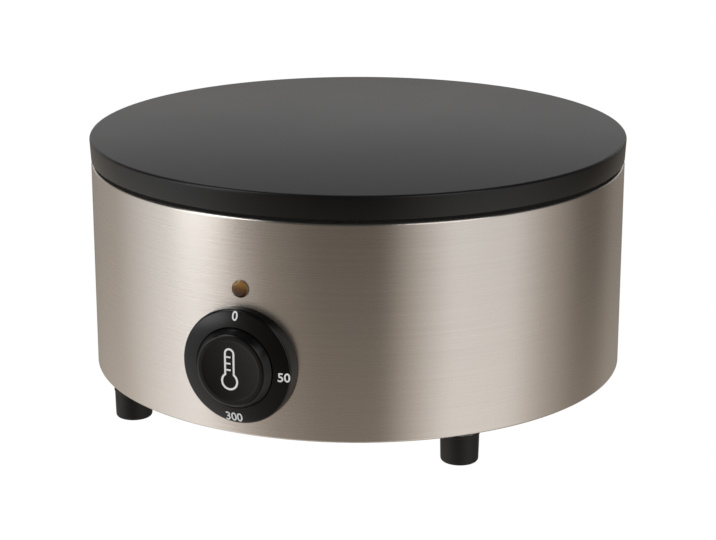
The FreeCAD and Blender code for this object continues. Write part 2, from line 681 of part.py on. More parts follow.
def flat_nut_level(radius):
    """Highest level, measured outwards from the drum's skin, of a flat nut of this radius inside the drum."""
    inside = CASING_RADIUS - SHEET
    return math.sqrt(inside * inside - radius * radius) - CASING_RADIUS - SEAT_GAP


def make_lamp_nut():
    """Flat nut that holds the lamp from inside."""
    high = flat_nut_level(LAMP_NUT_FLATS / math.sqrt(3))
    nut = hex_nut(LAMP_NUT_FLATS, LAMP_BODY_RADIUS + SEAT_GAP, high - LAMP_NUT_HEIGHT, high)
    return facing_front(nut, LAMP_HEIGHT)


def make_gland_body():
    """Cord gland: hexagonal flange outside, threaded neck inside, bored for the cord."""
    flange = hex_prism(GLAND_FLATS, 0, GLAND_FLANGE)
    body = flange.fuse(bar(GLAND_THREAD_RADIUS, -GLAND_THREAD_LENGTH, OVERCUT)).removeSplitter()
    body = body.cut(disc(GLAND_BORE_RADIUS, -GLAND_THREAD_LENGTH - OVERCUT, GLAND_FLANGE + OVERCUT))
    return facing_back(body, GLAND_HEIGHT)


def make_gland_cap():
    """Clamping cap of the gland, bored for the cord."""
    cap = disc(GLAND_CAP_RADIUS, GLAND_FLANGE, GLAND_DEPTH)
    bore = disc(GLAND_BORE_RADIUS, GLAND_FLANGE - OVERCUT, GLAND_DEPTH + OVERCUT)
    return facing_back(cap.cut(bore), GLAND_HEIGHT)


def make_gland_locknut():
    """Locknut of the gland, inside the drum."""
    high = flat_nut_level(GLAND_LOCKNUT_FLATS / math.sqrt(3))
    hole = GLAND_THREAD_RADIUS + SEAT_GAP
    nut = hex_nut(GLAND_LOCKNUT_FLATS, hole, high - GLAND_LOCKNUT_HEIGHT, high)
    return facing_back(nut, GLAND_HEIGHT)


def make_terminal_block():
    """Ceramic terminal block with one way for each wire."""
    low = Vector(-BLOCK_LENGTH / 2, BLOCK_CENTRE_Y - BLOCK_WIDTH / 2, CASING_BOTTOM)
    block = Part.makeBox(BLOCK_LENGTH, BLOCK_WIDTH, BLOCK_HEIGHT, low)
    bores = []
    pitch = BLOCK_LENGTH / BLOCK_WAYS
    for way in range(BLOCK_WAYS):
        x = (way - (BLOCK_WAYS - 1) / 2) * pitch
        start = Vector(x - BLOCK_WAY_SIZE / 2, low.y - OVERCUT, BLOCK_WAY_LEVEL - BLOCK_WAY_SIZE / 2)
        bores.append(Part.makeBox(BLOCK_WAY_SIZE, BLOCK_WIDTH + 2 * OVERCUT, BLOCK_WAY_SIZE, start))
    for side in (-1, 1):
        centre = Vector(side * BLOCK_SCREW_SPACING / 2, BLOCK_CENTRE_Y, 0)
        bores.append(clear_of(SCREW_FIT_RADIUS, CASING_BOTTOM - OVERCUT, CASING_BOTTOM + BLOCK_SCREW_LENGTH, centre))
    return cut_all(block, bores)


def make_terminal_screws():
    """Two screws from below that hold the terminal block on the base cover."""
    screws = []
    for side in (-1, 1):
        seat = Vector(side * BLOCK_SCREW_SPACING / 2, BLOCK_CENTRE_Y, FOOT_HEIGHT)
        screws.append(pan_screw(SCREW_RADIUS, SCREW_HEAD_RADIUS, SCREW_HEAD_HEIGHT, BLOCK_SCREW_LENGTH, seat, True))
    return Part.makeCompound(screws)


def all_parts():
    return {
        "cooking_plate": make_cooking_plate(),
        "plate_gasket": make_plate_gasket(),
        "casing_shell": make_casing_shell(),
        "base_cover": make_base_cover(),
        "feet": make_feet(),
        "foot_studs": make_foot_studs(),
        "foot_nuts": make_foot_nuts(),
        "tie_studs": make_tie_studs(),
        "tie_washers": make_tie_washers(),
        "tie_nuts": make_tie_nuts(),
        "shield_spacers": make_shield_spacers(),
        "shield_nuts": make_shield_nuts(),
        "heating_element": make_heating_element(),
        "element_terminals": make_element_terminals(),
        "element_spider": make_element_spider(),
        "insulation_disc": make_insulation_disc(),
        "heat_shield": make_heat_shield(),
        "sensor_bulb": make_sensor_bulb(),
        "bulb_saddle": make_bulb_saddle(),
        "capillary_tube": make_capillary_tube(),
        "thermostat_bracket": make_thermostat_bracket(),
        "thermostat_body": make_thermostat_body(),
        "thermostat_screws": make_thermostat_screws(),
        "thermostat_shaft": make_thermostat_shaft(),
        "dial_bezel": make_dial_bezel(),
        "knob": make_knob(),
        "knob_bush": make_knob_bush(),
        "lamp_rim": make_lamp_rim(),
        "lamp_lens": make_lamp_lens(),
        "lamp_body": make_lamp_body(),
        "lamp_nut": make_lamp_nut(),
        "gland_body": make_gland_body(),
        "gland_cap": make_gland_cap(),
        "gland_locknut": make_gland_locknut(),
        "terminal_block": make_terminal_block(),
        "terminal_screws": make_terminal_screws(),
    }


os.makedirs("parts", exist_ok=True)
for name, shape in all_parts().items():
    shape.exportStep("parts/" + name + ".step")
    print(name, len(shape.Solids), "valid" if shape.isValid() else "NOT VALID", round(shape.Volume))
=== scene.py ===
import json
import math

import bmesh
import bpy
from mathutils import Matrix, Vector


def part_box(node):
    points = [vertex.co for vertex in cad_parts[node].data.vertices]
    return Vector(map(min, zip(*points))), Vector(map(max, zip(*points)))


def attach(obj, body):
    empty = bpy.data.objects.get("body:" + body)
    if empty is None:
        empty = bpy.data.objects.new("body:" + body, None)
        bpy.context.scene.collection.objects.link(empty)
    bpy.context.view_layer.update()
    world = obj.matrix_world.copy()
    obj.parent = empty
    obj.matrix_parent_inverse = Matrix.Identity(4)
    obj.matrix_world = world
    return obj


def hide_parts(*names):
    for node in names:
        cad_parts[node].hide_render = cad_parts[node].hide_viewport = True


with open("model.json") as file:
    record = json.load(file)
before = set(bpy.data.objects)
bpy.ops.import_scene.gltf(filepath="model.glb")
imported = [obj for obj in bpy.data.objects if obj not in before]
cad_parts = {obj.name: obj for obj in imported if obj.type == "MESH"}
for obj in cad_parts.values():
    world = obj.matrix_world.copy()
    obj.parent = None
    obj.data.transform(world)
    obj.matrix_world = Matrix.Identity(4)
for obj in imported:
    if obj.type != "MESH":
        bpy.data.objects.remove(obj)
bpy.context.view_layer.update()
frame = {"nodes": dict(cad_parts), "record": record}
nodes = frame["nodes"]

MM = 0.001
LATHE_SEGMENTS = 288
ARC_STEPS = 6


def box(node):
    """Low and high corner of a CAD node's box."""
    return [Vector(corner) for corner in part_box(node)]


# Levels and radii read from the frame
plate_high = box("cooking_plate")[1]
gasket_high = box("plate_gasket")[1]
base_low, base_high = box("base_cover")
shell_low, shell_high = box("casing_shell")
bezel_low, bezel_high = box("dial_bezel")
knob_low, knob_high = box("knob")
rim_low, rim_high = box("lamp_rim")
lens_low, lens_high = box("lamp_lens")
gland_low, gland_high = box("gland_cap")
feet_high = box("feet")[1]
stud_low, stud_high = box("tie_studs")
screws_low, screws_high = box("terminal_screws")

PLATE_TOP = plate_high.z
PLATE_RADIUS = plate_high.x
DRUM_RADIUS = shell_high.x
DRUM_LOW = shell_low.z
DRUM_HIGH = shell_high.z
RIM_UNDERSIDE = gasket_high.z
DIAL_LEVEL = (bezel_low.z + bezel_high.z) / 2
BEZEL_RADIUS = bezel_high.x
KNOB_RADIUS = knob_high.x
BEZEL_DEPTH = -DRUM_RADIUS - bezel_low.y
KNOB_DEPTH = -DRUM_RADIUS - knob_low.y
KNOB_BACK = -DRUM_RADIUS - knob_high.y
LAMP_LEVEL = (rim_low.z + rim_high.z) / 2
LAMP_RIM_RADIUS = rim_high.x
LAMP_RIM_DEPTH = -DRUM_RADIUS - rim_low.y
LAMP_LENS_RADIUS = lens_high.x
LAMP_LENS_DEPTH = -DRUM_RADIUS - lens_low.y
GLAND_LEVEL = (gland_low.z + gland_high.z) / 2
GLAND_RADIUS = gland_high.x
DIAL_FRONT = Matrix.Translation((0, -DRUM_RADIUS, DIAL_LEVEL)) @ Matrix.Rotation(math.pi / 2, 4, "X")
LAMP_FRONT = Matrix.Translation((0, -DRUM_RADIUS, LAMP_LEVEL)) @ Matrix.Rotation(math.pi / 2, 4, "X")

# The part's own sizes that no box gives
SHEET = 1.0 * MM
TOP_FLANGE = 14.5 * MM
LOW_FLANGE = 27.0 * MM
PLATE_WEB = 10.0 * MM
PLATE_RIM_WIDTH = 11.0 * MM
BEZEL_BORE = 25.0 * MM
BEZEL_FLOOR = 3.0 * MM
BEZEL_EDGE = 6.4 * MM
NOSE_HOLE = 5.3 * MM
KNOB_SHOULDER = 10.0 * MM
KNOB_FACE_RADIUS = 21.8 * MM
KNOB_WALL = 2.4 * MM
KNOB_BOSS = 6.8 * MM
BUSH_HOLE = 4.85 * MM
BUSH_LENGTH = 7.6 * MM
FOOT_RADIUS = 12.0 * MM
FOOT_CIRCLE = 161.0 * MM
FOOT_ANGLES = (229.7, 316.1, 49.7, 136.1)
STUD_RADIUS = 3.0 * MM
STUD_CIRCLE = 140.7 * MM
STUD_ANGLES = (60.0, 180.0, 300.0)
GLAND_BORE = 4.0 * MM
SCREW_RADIUS = 2.0 * MM
SCREW_HEAD_RADIUS = 4.0 * MM
TERMINAL_SCREW_OFFSET = 13.0 * MM

# Detail that only the scene shows
PLATE_DRAFT = 0.8 * MM
PLATE_TOP_ROUND = 1.8 * MM
PLATE_LOW_ROUND = 0.5 * MM
PLATE_WEB_ROUND = 0.8 * MM
DRUM_TOP_ROUND = 1.6 * MM
DRUM_LOW_ROUND = 1.4 * MM
COVER_RADIUS = 170.8 * MM
COVER_EDGE = 1.0 * MM
BEZEL_EDGE_TOP = BEZEL_EDGE + 0.5 * MM
BEZEL_EDGE_ROUND = 1.9 * MM
BEZEL_BORE_ROUND = 0.35 * MM
KNOB_DISH = 0.3 * MM
KNOB_DISH_RADIUS = KNOB_FACE_RADIUS - 4.2 * MM
KNOB_LIP_RADIUS = KNOB_FACE_RADIUS - 2.8 * MM
KNOB_FACE_ROUND = 2.0 * MM
KNOB_SHOULDER_ROUND = 0.8 * MM
FOOT_TAPER = 0.4 * MM
FOOT_ROUND = 2.0 * MM
FOOT_LIP = 0.30 * MM
FOOT_LIP_DROP = 0.6 * MM
LENS_BRIM_RADIUS = LAMP_RIM_RADIUS - 0.2 * MM
LENS_ROUND = 2.4 * MM
STUD_CORE = 2.7 * MM
THREAD_PITCH = 1.0 * MM
THREAD_COUNT = 8
GLAND_NOSE_ROUND = 3.4 * MM
GLAND_RIBS = 18
GLAND_RIB_SIZE = (1.0 * MM, 1.3 * MM, 5.0 * MM)
GLAND_RIB_LEVEL = 3.2 * MM
SCREW_HEAD_ROUND = 1.1 * MM
SLOT_SIZE = (4.4 * MM, 0.8 * MM, 2.0 * MM)
HAIR = 0.05 * MM
SHARP_ANGLE = 28

# Print on the dial
LABELS = (("0", 0.0), ("50", 94.5), ("300", 183.0))
LABEL_RADIUS = 31.7 * MM
LABEL_HEIGHT = 5.3 * MM
CAPITAL_SHARE = 0.69
STROKE_GROWTH = 0.12 * MM
PRINT_LIFT = 0.10 * MM
THERMOMETER_SHIFT = -0.6 * MM
THERMOMETER_LOW = -6.6 * MM
THERMOMETER_HIGH = 10.6 * MM
THERMOMETER_OUTSIDE = (3.4 * MM, 5.6 * MM)
THERMOMETER_INSIDE = (2.2 * MM, 4.35 * MM)
MARK_COUNT = 3
MARK_TOP = 8.4 * MM
MARK_STEP = 4.0 * MM
MARK_CORNERS = ((-2.3, -0.5), (0.8, -0.5), (0.8, 0.5), (-2.3, 0.5))

# Camera, from a pinhole fitted to the photograph's edges
CAMERA_AZIMUTH = 23.5
CAMERA_RISE = 12.744
CAMERA_PITCH = 16.591
CAMERA_DISTANCE = 7.8746 * 0.175
FOCAL_PIXELS = 2097.6
FRAME_WIDTH = 716
SENSOR = 36.0

# Studio: what steel mirrors, by share of a full turn from the camera and by height of the mirrored ray
BANDS = [
    (0.00, 0.25), (0.05, 0.32), (0.16, 0.50), (0.24, 0.95), (0.30, 1.05), (0.34, 0.66), (0.39, 0.27), (0.45, 0.14),
    (0.53, 0.12), (0.56, 0.42), (0.61, 0.92), (0.69, 0.90), (0.74, 0.48), (0.80, 0.17), (0.84, 0.14), (0.89, 0.28),
    (0.95, 0.27), (1.00, 0.25),
]
BACKDROP_SHARE = [(0.00, 1.0), (0.08, 1.0), (0.16, 0.0), (0.84, 0.0), (0.92, 1.0), (1.00, 1.0)]
BACKDROP_HEIGHT = [(0.10, 0.0), (0.15, 1.0)]
BACKDROP_FADE = [(0.17, 1.10), (0.21, 0.64), (0.25, 0.44), (0.40, 0.30)]
SOFTBOX_SHARE = [(0.26, 0.0), (0.29, 1.0), (0.33, 1.0), (0.36, 0.0)]
SOFTBOX_HEIGHT = [(0.00, 0.0), (0.03, 1.0), (0.18, 1.0), (0.26, 0.0)]
SOFTBOX_LEVEL = 4.6
FLOOR_DEPTH = [(0.25, 0.0), (0.40, 1.0)]
FLOOR_LEVEL = 0.20
CEILING_HEIGHT = [(0.30, 0.0), (0.45, 1.0)]
CEILING_LEVEL = 0.06
SURROUND_LEVEL = 0.55
WHITE_LEVEL = 1.02
FLOOR_RADIUS = 30.0
FLOOR_WHITENESS = 0.985
LAMPS = (
    ("key_lamp", (-1.3, -1.3, 1.8), 1.2, 14.0),
    ("fill_lamp", (1.6, -0.8, 1.4), 1.4, 8.0),
)
LAMP_AIM = Vector((0, 0, 0.1))


class Shade:
    """A shader socket on which arithmetic adds Math nodes."""

    def __init__(self, book, socket):
        self.book = book
        self.socket = socket

    def maths(self, operation, *others):
        inputs = {index + 1: other for index, other in enumerate(others)}
        return self.book.add("ShaderNodeMath", {"operation": operation}, {0: self, **inputs})

    def __add__(self, other):
        return self.maths("ADD", other)

    def __mul__(self, other):
        return self.maths("MULTIPLY", other)

    def __sub__(self, other):
        return self.maths("SUBTRACT", other)

    def __rsub__(self, other):
        return self.book.add("ShaderNodeMath", {"operation": "SUBTRACT"}, {0: other, 1: self})

    def __truediv__(self, other):
        return self.maths("DIVIDE", other)

    __radd__ = __add__
    __rmul__ = __mul__


class Book:
    """One material or world tree, filled by calls to add."""

    def __init__(self, tree):
        self.tree = tree
        tree.nodes.clear()

    def add(self, kind, settings=None, values=None, output=0):
        node = self.tree.nodes.new(kind)
        for name, value in (settings or {}).items():
            if name == "stops":
                self.set_stops(node.color_ramp, value)
            else:
                setattr(node, name, value)
        for name, value in (values or {}).items():
            if isinstance(value, Shade):
                self.tree.links.new(value.socket, node.inputs[name])
            else:
                node.inputs[name].default_value = value
        return Shade(self, node.outputs[output]) if node.outputs else node

    def set_stops(self, ramp, stops):
        while len(ramp.elements) < len(stops):
            ramp.elements.new(0.5)
        for element, (place, colour) in zip(ramp.elements, stops):
            element.position = place
            element.color = colour if len(colour) == 4 else (*colour, 1)

    def place(self):
        return self.add("ShaderNodeTexCoord", output=3)

    def parts(self, vector):
        """The three parts of a vector."""
        first = self.add("ShaderNodeSeparateXYZ", {}, {0: vector})
        return [Shade(self, socket) for socket in first.socket.node.outputs]

    def stretch(self, vector, scale):
        return self.add("ShaderNodeMapping", {}, {0: vector, 3: scale})

    def noise(self, vector, scale, detail=3.0, roughness=0.55):
        values = {"Vector": vector, "Scale": scale, "Detail": detail, "Roughness": roughness}
        return self.add("ShaderNodeTexNoise", {}, values)

    def ramp(self, value, stops, mode="LINEAR"):
        shade = self.add("ShaderNodeValToRGB", {"stops": stops}, {0: value})
        shade.socket.node.color_ramp.interpolation = mode
        return shade

    def between(self, factor, first, second):
        return self.add("ShaderNodeMix", {"data_type": "RGBA"}, {0: factor, 6: first, 7: second}, output=2)

    def bump(self, height, strength, distance):
        return self.add("ShaderNodeBump", {}, {"Strength": strength, "Distance": distance, "Height": height})


def material(name, build):
    """A material whose build function fills its tree and returns the values of the shader's sockets."""
    made = bpy.data.materials.new(name)
    made.use_nodes = True
    book = Book(made.node_tree)
    shader = book.add("ShaderNodeBsdfPrincipled", {}, build(book))
    book.add("ShaderNodeOutputMaterial", {}, {"Surface": shader})
    return made


def grey(level):
    return (level, level, level, 1)


def drum_coordinates(book):
    """Distance round the drum and height, as a vector that brushing can follow."""
    x, y, z = book.parts(book.place())
    angle = y.maths("ARCTAN2", x)
    return book.add("ShaderNodeCombineXYZ", {}, {0: angle * DRUM_RADIUS, 1: z, 2: 0.0})


def build_drum_steel(book):
    round_and_up = drum_coordinates(book)
    fine = book.noise(book.stretch(round_and_up, (16, 4200, 1)), 1.0, 4.0, 0.6)
    broad = book.noise(book.stretch(round_and_up, (3, 900, 1)), 1.0, 3.0, 0.5)
    patch = book.noise(book.place(), 7.0, 2.0, 0.5)
    streak = fine * 0.65 + broad * 0.35
    colour = book.ramp(streak, [(0.30, (0.570, 0.532, 0.497)), (0.70, (0.650, 0.607, 0.567))])
    return {
        "Base Color": colour,
        "Metallic": 1.0,
        "Roughness": streak * 0.10 + patch * 0.03 + 0.20,
        "Anisotropic": 0.82,
        "Anisotropic Rotation": 0.25,
        "Normal": book.bump(fine, 0.02, 0.00002),
    }


def build_plate_iron(book):
    place = book.place()
    grain = book.noise(place, 900.0, 3.0, 0.6)
    cloud = book.noise(place, 9.0, 3.0, 0.55)
    colour = book.ramp(grain * 0.5 + cloud * 0.5, [(0.35, grey(0.0020)), (0.65, grey(0.0040))])
    return {
        "Base Color": colour,
        "Roughness": cloud * 0.05 + grain * 0.04 + 0.27,
        "Specular IOR Level": 0.33,
        "Normal": book.bump(grain, 0.18, 0.00006),
    }


def build_dial_plastic(book):
    place = book.place()
    grain = book.noise(place, 2600.0, 2.0, 0.5)
    cloud = book.noise(place, 60.0, 2.0, 0.5)
    colour = book.ramp(cloud, [(0.3, (0.0013, 0.0013, 0.0014)), (0.7, (0.0022, 0.0022, 0.0023))])
    return {
        "Base Color": colour,
        "Roughness": cloud * 0.04 + 0.22,
        "Specular IOR Level": 0.28,
        "Normal": book.bump(grain, 0.12, 0.00003),
    }


def build_rubber(book):
    place = book.place()
    grain = book.noise(place, 1500.0, 3.0, 0.6)
    colour = book.ramp(book.noise(place, 80.0), [(0.3, grey(0.003)), (0.7, grey(0.006))])
    return {
        "Base Color": colour,
        "Roughness": grain * 0.15 + 0.50,
        "Specular IOR Level": 0.35,
        "Normal": book.bump(grain, 0.3, 0.00008),
    }


def build_print(book):
    speck = book.noise(book.place(), 900.0)
    colour = book.ramp(speck, [(0.2, grey(0.78)), (0.6, grey(0.90))])
    return {"Base Color": colour, "Roughness": speck * 0.1 + 0.45}


def build_amber_painted_light(book):
    """Clear amber with painted light: a painted shade towards the bottom and a painted highlight towards the top.
    """
    place = book.place()
    depth = book.noise(place, 420.0, 2.0, 0.5)
    height = book.parts(place)[2]
    # painted shade and painted highlight: the colour ramp runs by height, dark low in the lens and light high
    level = (height - (LAMP_LEVEL - LAMP_LENS_RADIUS)) / (2 * LAMP_LENS_RADIUS)
    stops = [(0.22, (0.028, 0.008, 0.001)), (0.50, (0.100, 0.040, 0.004)), (0.82, (0.250, 0.130, 0.030))]
    colour = book.ramp(level * 0.8 + depth * 0.2, stops)
    return {"Base Color": colour, "Roughness": depth * 0.05 + 0.12}


def metal_builder(dark, light, rough, scale=220.0):
    def build(book):
        wear = book.noise(book.place(), scale, 4.0, 0.6)
        colour = book.ramp(wear, [(0.3, dark), (0.7, light)])
        return {
            "Base Color": colour,
            "Metallic": 1.0,
            "Roughness": wear * 0.15 + rough,
            "Normal": book.bump(wear, 0.08, 0.00008),
        }
    return build


def matt_builder(dark, light, rough, scale=300.0):
    def build(book):
        grain = book.noise(book.place(), scale, 4.0, 0.6)
        colour = book.ramp(grain, [(0.3, dark), (0.7, light)])
        return {"Base Color": colour, "Roughness": grain * 0.12 + rough, "Normal": book.bump(grain, 0.2, 0.0001)}
    return build


FINISHES = {
    "casing_steel": material("drum_steel", build_drum_steel),
    "plate_iron": material("plate_iron", build_plate_iron),
    "dial_plastic": material("dial_plastic", build_dial_plastic),
    "foot_rubber": material("foot_rubber", build_rubber),
    "gasket": material("gasket_rubber", matt_builder(grey(0.004), grey(0.008), 0.75)),
    "lamp_amber": material("lamp_amber", build_amber_painted_light),
    "lamp_rim": material("lamp_rim", metal_builder((0.62, 0.55, 0.44), (0.78, 0.70, 0.58), 0.16)),
    "base_steel": material("zinc_sheet", metal_builder((0.36, 0.37, 0.37), (0.52, 0.53, 0.53), 0.36, 60.0)),
    "bright_steel": material("zinc_plated", metal_builder((0.50, 0.50, 0.49), (0.66, 0.66, 0.65), 0.22)),
    "black_plastic": material("black_nylon", matt_builder(grey(0.014), grey(0.024), 0.45)),
    "ceramic": material("ceramic", matt_builder((0.70, 0.66, 0.58), (0.82, 0.79, 0.72), 0.55)),
    "insulation": material("mineral_board", matt_builder((0.52, 0.48, 0.41), (0.68, 0.64, 0.56), 0.85, 500.0)),
    "heater_steel": material("heater_sheath", metal_builder((0.10, 0.09, 0.08), (0.22, 0.20, 0.18), 0.42)),
    "brass": material("brass", metal_builder((0.55, 0.38, 0.15), (0.74, 0.55, 0.28), 0.22)),
    "copper": material("copper", metal_builder((0.50, 0.24, 0.14), (0.70, 0.40, 0.27), 0.28)),
    "aluminium": material("aluminium", metal_builder((0.58, 0.58, 0.58), (0.74, 0.74, 0.74), 0.30)),
}
PRINT_WHITE = material("print_white", build_print)

for part in frame["record"]["subparts"]:
    mesh = nodes[part["node"]].data
    mesh.materials.clear()
    mesh.materials.append(FINISHES[part["material_slot"]])


def rounded(corners):
    """Points of an open profile of (radius, level, rounding) corners, each rounding cut into short steps."""
    points = []
    for index, (radius, level, rounding) in enumerate(corners):
        here = Vector((radius, level))
        if rounding == 0 or index in (0, len(corners) - 1):
            points.append(here)
            continue
        back = (Vector(corners[index - 1][:2]) - here).normalized()
        ahead = (Vector(corners[index + 1][:2]) - here).normalized()
        half = back.angle(ahead) / 2
        centre = here + (back + ahead).normalized() * (rounding / math.sin(half))
        start = here + back * (rounding / math.tan(half)) - centre
        end = here + ahead * (rounding / math.tan(half)) - centre
        sweep = start.angle(end)
        for step in range(ARC_STEPS + 1):
            share = step / ARC_STEPS
            weight_start = math.sin((1 - share) * sweep) / math.sin(sweep)
            weight_end = math.sin(share * sweep) / math.sin(sweep)
            points.append(centre + start * weight_start + end * weight_end)
    return points


def add_object(name, mesh_data, finish, body, smooth=True):
    mesh = bpy.data.meshes.new(name)
    mesh_data.to_mesh(mesh)
    mesh_data.free()
    mesh.materials.append(finish)
    if smooth:
        mesh.shade_smooth()
        mesh.set_sharp_from_angle(angle=math.radians(SHARP_ANGLE))
    made = bpy.data.objects.new(name, mesh)
    bpy.context.scene.collection.objects.link(made)
    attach(made, body)
    return made


def add_turned(data, corners, place, segments, closed):
    """Add a piece turned about local Z from (radius, level, rounding) corners to a mesh."""
    rings = []
    for radius, level in rounded(corners):
        count = 1 if radius < 1e-7 else segments
        turns = [2 * math.pi * index / segments for index in range(count)]
        rings.append([data.verts.new((radius * math.cos(turn), radius * math.sin(turn), level)) for turn in turns])
    pairs = list(zip(rings, rings[1:]))
    if closed:
        pairs.append((rings[-1], rings[0]))
    faces = []
    for lower, upper in pairs:
        for index in range(segments):
            after = (index + 1) % segments
            corners_here = [lower[index % len(lower)], lower[after % len(lower)],
                            upper[after % len(upper)], upper[index % len(upper)]]
            faces.append(data.faces.new(list(dict.fromkeys(corners_here))))
    bmesh.ops.recalc_face_normals(data, faces=faces)
    bmesh.ops.transform(data, matrix=place, verts=[vert for ring in rings for vert in ring])


def lathe(name, corners, finish, body, place=Matrix.Identity(4), segments=LATHE_SEGMENTS, closed=True):
    """Piece turned about local Z from (radius, level, rounding) corners, then put in its place."""
    data = bmesh.new()
    add_turned(data, corners, place, segments, closed)
    return add_object(name, data, finish, body)


def make_plate():
    foot = PLATE_RADIUS - PLATE_DRAFT
    inner = foot - PLATE_RIM_WIDTH + PLATE_DRAFT
    web = PLATE_TOP - PLATE_WEB
    plate = lathe("plate_casting", [
        (0, PLATE_TOP, 0),
        (PLATE_RADIUS, PLATE_TOP, PLATE_TOP_ROUND),
        (foot, RIM_UNDERSIDE, PLATE_LOW_ROUND),
        (inner, RIM_UNDERSIDE, PLATE_LOW_ROUND),
        (inner - PLATE_DRAFT, web, PLATE_WEB_ROUND),
        (0, web, 0),
    ], FINISHES["plate_iron"], "cooker", closed=False)
    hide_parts("cooking_plate")


def make_drum():
    inside = DRUM_RADIUS - SHEET
    top_edge = DRUM_RADIUS - TOP_FLANGE
    low_edge = DRUM_RADIUS - LOW_FLANGE
    drum = lathe("drum_shell", [
        (top_edge, DRUM_HIGH, 0),
        (DRUM_RADIUS, DRUM_HIGH, DRUM_TOP_ROUND),
        (DRUM_RADIUS, DRUM_LOW, DRUM_LOW_ROUND),
        (low_edge, DRUM_LOW, 0),
        (low_edge, DRUM_LOW + SHEET, 0),
        (inside, DRUM_LOW + SHEET, DRUM_LOW_ROUND - SHEET),
        (inside, DRUM_HIGH - SHEET, DRUM_TOP_ROUND - SHEET),
        (top_edge, DRUM_HIGH - SHEET, 0),
    ], FINISHES["casing_steel"], "cooker")
    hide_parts("casing_shell")


def make_bezel():
    """Bezel with a rounded rim; its back follows the drum."""
    bezel = lathe("bezel_ring", [
        (NOSE_HOLE, 0, 0),
        (BEZEL_RADIUS, 0, 0),
        (BEZEL_RADIUS, BEZEL_EDGE_TOP, BEZEL_EDGE_ROUND),
        (BEZEL_BORE, BEZEL_DEPTH, BEZEL_BORE_ROUND),
        (BEZEL_BORE, BEZEL_FLOOR, 0),
        (NOSE_HOLE, BEZEL_FLOOR, 0),
    ], FINISHES["dial_plastic"], "cooker")
    for vertex in bezel.data.vertices:
        if vertex.co.z == 0:
            vertex.co.z = math.sqrt(DRUM_RADIUS ** 2 - vertex.co.x ** 2) - DRUM_RADIUS
    bezel.data.transform(DIAL_FRONT)
    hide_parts("dial_bezel")


def make_knob():
    inside = KNOB_FACE_RADIUS - KNOB_WALL
    ceiling = KNOB_DEPTH - KNOB_WALL
    knob = lathe("knob_cap", [
        (0, KNOB_DEPTH - KNOB_DISH, 0),
        (KNOB_DISH_RADIUS, KNOB_DEPTH - KNOB_DISH, 0),
        (KNOB_LIP_RADIUS, KNOB_DEPTH, KNOB_SHOULDER_ROUND),
        (KNOB_FACE_RADIUS + 0.2 * MM, KNOB_DEPTH, KNOB_FACE_ROUND),
        (KNOB_RADIUS, KNOB_SHOULDER, KNOB_SHOULDER_ROUND),
        (KNOB_RADIUS, KNOB_BACK, 0.3 * MM),
        (inside, KNOB_BACK, 0),
        (inside, ceiling, 0.6 * MM),
        (KNOB_BOSS, ceiling, 0),
        (KNOB_BOSS, ceiling - BUSH_LENGTH, 0),
        (BUSH_HOLE, ceiling - BUSH_LENGTH, 0),
        (BUSH_HOLE, ceiling, 0),
        (0, ceiling, 0),
    ], FINISHES["dial_plastic"], "control_knob", DIAL_FRONT, closed=False)
    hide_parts("knob")


def make_feet():
    """Four rubber feet with rounded edges, each with a lip round its steel plate, one mesh."""
    feet = bmesh.new()
    for angle in FOOT_ANGLES:
        turn = math.radians(angle)
        place = Matrix.Translation((FOOT_CIRCLE * math.cos(turn), FOOT_CIRCLE * math.sin(turn), 0))
        add_turned(feet, [
            (0, 0, 0),
            (FOOT_RADIUS - FOOT_TAPER, 0, FOOT_ROUND),
            (FOOT_RADIUS, feet_high.z, 0.5 * MM),
            (0, feet_high.z, 0),
        ], place, 96, False)
        add_turned(feet, [
            (FOOT_RADIUS + HAIR, feet_high.z - FOOT_LIP_DROP, 0),
            (FOOT_RADIUS + FOOT_LIP, feet_high.z, 0),
            (FOOT_RADIUS + FOOT_LIP, base_low.z - HAIR, 0.2 * MM),
            (FOOT_RADIUS + HAIR, base_low.z - HAIR, 0),
        ], place, 96, True)
    rubber = add_object("feet_rubber", feet, FINISHES["foot_rubber"], "cooker")
    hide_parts("feet")


def make_lens():
    """Domed amber lens whose brim covers the face of the rim."""
    face = LAMP_RIM_DEPTH + 0.02 * MM
    lens = lathe("lamp_dome", [
        (0, LAMP_LENS_DEPTH, 0),
        (LENS_BRIM_RADIUS - 0.3 * MM, LAMP_LENS_DEPTH - HAIR, LENS_ROUND),
        (LENS_BRIM_RADIUS, face + 0.3 * MM, 0.2 * MM),
        (LENS_BRIM_RADIUS, face, 0),
        (LAMP_LENS_RADIUS, face, 0),
        (LAMP_LENS_RADIUS, HAIR, 0),
        (0, HAIR, 0),
    ], FINISHES["lamp_amber"], "cooker", LAMP_FRONT, 96, closed=False)
    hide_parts("lamp_lens")


def make_base():
    """Base cover with its rim drawn in a little, so that the drum's lower edge stands clear of it."""
    data = bmesh.new()
    data.from_mesh(nodes["base_cover"].data)
    bmesh.ops.remove_doubles(data, verts=data.verts, dist=1e-6)
    for vertex in data.verts:
        flat = vertex.co.xy.length
        if flat > base_high.x - COVER_EDGE:
            vertex.co.x *= COVER_RADIUS / flat
            vertex.co.y *= COVER_RADIUS / flat
    cover = add_object("bottom_cover", data, FINISHES["base_steel"], "cooker")
    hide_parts("base_cover")


REPEAT_INPUTS = (
    ("Cell", "Geometry"), ("Count", "Int"), ("Step", "Vector"), ("Turn", "Float"), ("Finish", "Material"),
)


